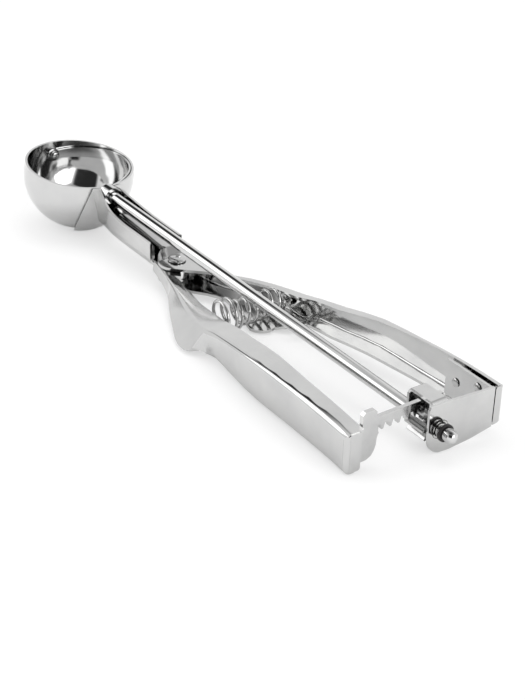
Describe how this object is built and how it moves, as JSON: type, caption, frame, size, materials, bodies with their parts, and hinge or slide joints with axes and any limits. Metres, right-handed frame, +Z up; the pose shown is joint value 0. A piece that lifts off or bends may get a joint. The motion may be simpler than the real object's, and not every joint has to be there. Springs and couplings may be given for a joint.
{
  "type": "portion scoop",
  "caption": "Steel portion scoop with a round bowl, a sweep blade turned by a rack and pinion, and two sprung squeeze handles.",
  "frame": {"origin": "middle of the footprint, on the surface that the scoop lies on", "axes": "+X runs from the bowl to the hand end along the shaft as seen from above, +Z is up, and +Y is towards the handle that is fixed to the shank"},
  "size_m": [0.2316, 0.0566, 0.0271],
  "materials": {
    "polished_steel": "mirror-polished stainless steel",
    "dark_steel": "blackened spring steel"
  },
  "bodies": {
    "frame": {"blade_pivot_rivet": "polished_steel", "blade_pivot_washer": "polished_steel", "bowl": "polished_steel", "fixed_handle": "polished_steel", "fixed_spring_seat": "polished_steel", "front_bracket_stud": "polished_steel", "front_bush": "polished_steel", "pinion_bracket": "polished_steel", "pivot_rivet": "polished_steel", "pivot_spacer": "polished_steel", "pivot_washer": "polished_steel", "rear_bracket_stud": "polished_steel", "rear_bush": "polished_steel", "return_spring": "polished_steel", "shank": "polished_steel"},
    "lever": {"lever_handle": "polished_steel", "rack_plate": "polished_steel", "lever_spring_seat": "polished_steel"},
    "drive": {"drive_shaft": "polished_steel", "pinion": "polished_steel", "sweep_blade": "polished_steel", "retaining_ring": "dark_steel", "thrust_washer": "polished_steel"}
  },
  "joints": [
    {"name": "lever_squeeze", "type": "hinge", "parent": "frame", "child": "lever", "pos_m": [-0.02885, 0.00421, 0.00823], "axis": [0.0601, -0.0676, 0.9959], "range_deg": [0, 6], "stiffness_Nm_per_rad": 2, "springref_deg": -20.05, "deforming": ["return_spring"]},
    {"name": "blade_sweep", "type": "hinge", "parent": "frame", "child": "drive", "pos_m": [-0.09452, 0.00364, 0.02069], "axis": [0.9982, 0, -0.0603], "range_deg": [-172, 0]}
  ],
  "couplings": [
    {"joint": "blade_sweep", "follows": "lever_squeeze", "ratio": -27.895}
  ]
}
